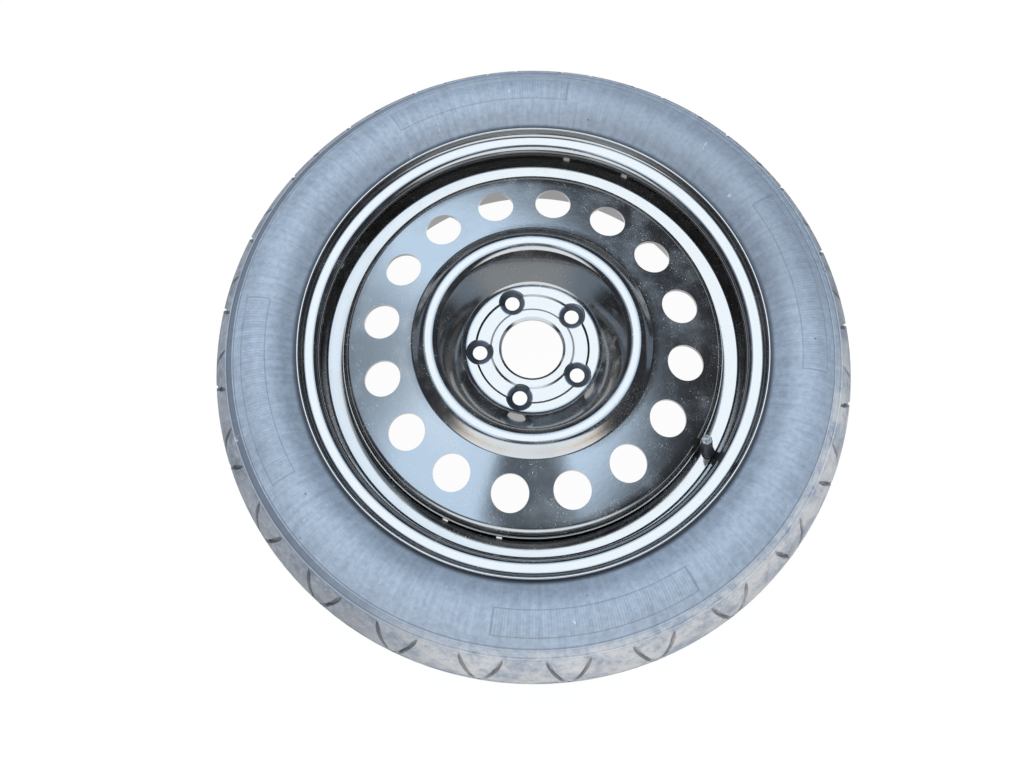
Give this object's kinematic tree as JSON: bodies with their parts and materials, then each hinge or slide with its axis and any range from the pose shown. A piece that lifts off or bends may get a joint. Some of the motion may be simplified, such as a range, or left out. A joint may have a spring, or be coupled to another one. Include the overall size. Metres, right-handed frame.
{
  "type": "spare wheel",
  "caption": "Temporary spare wheel: narrow tyre on a black painted pressed-steel rim and vented disc, with a hub bore, lug holes and a snap-in valve under a screwed cap.",
  "frame": {"origin": "the wheel's centre: on its axis, in the rim's middle plane", "axes": "+Z along the wheel's axis, towards the street side; the wheel lies flat on its hidden sidewall"},
  "size_m": [0.66, 0.66, 0.155],
  "materials": {
    "tyre": "matt rubber, dusty",
    "black_paint": "gloss black paint",
    "weld_paint": "painted weld",
    "valve_rubber": "smooth black rubber",
    "brass": "turned",
    "cap_plastic": "moulded, dusty top",
    "seal_rubber": "moulded",
    "spring_steel": "drawn wire"
  },
  "bodies": {
    "wheel": {"tyre": "tyre", "rim": "black_paint", "disc": "black_paint", "weld_beads": "weld_paint", "valve_body": "valve_rubber", "valve_stem": "brass", "core_plug": "brass", "core_barrel": "brass", "core_barrel_seal": "seal_rubber", "core_spring": "spring_steel"},
    "core": {"core_pin": "brass", "core_cup": "brass", "core_cup_seal": "seal_rubber"},
    "cap_seal": {"valve_cap_seal": "seal_rubber"},
    "cap": {"valve_cap": "cap_plastic"}
  },
  "joints": [
    {"name": "core_press", "type": "slide", "parent": "wheel", "child": "core", "axis": [0.2259, -0.1263, -0.9659], "range_m": [0, 0.0012], "stiffness_N_per_m": 400, "springref_m": -0.002, "deforming": ["core_spring"]},
    {"name": "cap_rise", "type": "slide", "parent": "wheel", "child": "cap_seal", "axis": [-0.2259, 0.1263, 0.9659], "range_m": [0, 0.00793]},
    {"name": "cap_turn", "type": "hinge", "parent": "cap_seal", "child": "cap", "pos_m": [0.18026, -0.10074, 0.01969], "axis": [-0.2259, 0.1263, 0.9659], "range_deg": [0, 3600]}
  ],
  "couplings": [
    {"joint": "cap_turn", "follows": "cap_rise", "rad_per_m": 7913}
  ]
}
